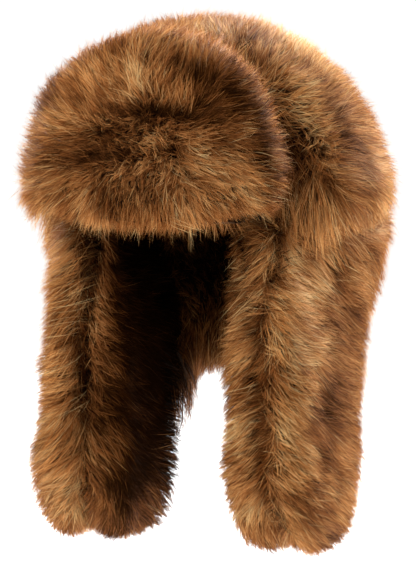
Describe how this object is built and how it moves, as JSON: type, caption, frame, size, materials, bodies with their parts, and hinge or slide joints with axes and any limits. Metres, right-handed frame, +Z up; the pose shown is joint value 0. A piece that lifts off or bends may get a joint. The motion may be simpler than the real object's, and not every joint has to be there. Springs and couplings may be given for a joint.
{
  "type": "fur trapper hat",
  "caption": "Deep-furred trapper hat with a turned-up front visor, two long ear flaps hanging down and a short neck flap.",
  "frame": {"origin": "where the top of the head bears on the inside of the crown", "axes": "+Z up, -Y towards the front, where the visor is, +X towards the wearer's left"},
  "size_m": [0.256, 0.2956, 0.3671],
  "materials": {
    "crown_lining": "dark quilted cloth",
    "crown_fur": "long brown fur with golden tips",
    "visor_fur": "long tan fur with dark roots",
    "flap_fur": "long brown and tan fur",
    "lining_fur": "dark brown fur lining",
    "pelt_leather": "dull suede pelt side"
  },
  "bodies": {
    "root": {"crown_band": "crown_lining", "crown_top": "crown_lining", "crown_fur": "crown_fur", "visor_board": "pelt_leather", "visor_fur": "visor_fur", "ear_flap_left": "pelt_leather", "ear_fur_left": "flap_fur", "ear_lining_left": "lining_fur", "ear_flap_right": "pelt_leather", "ear_fur_right": "flap_fur", "ear_lining_right": "lining_fur", "neck_flap": "pelt_leather", "neck_fur": "flap_fur", "neck_lining": "lining_fur"}
  },
  "joints": []
}
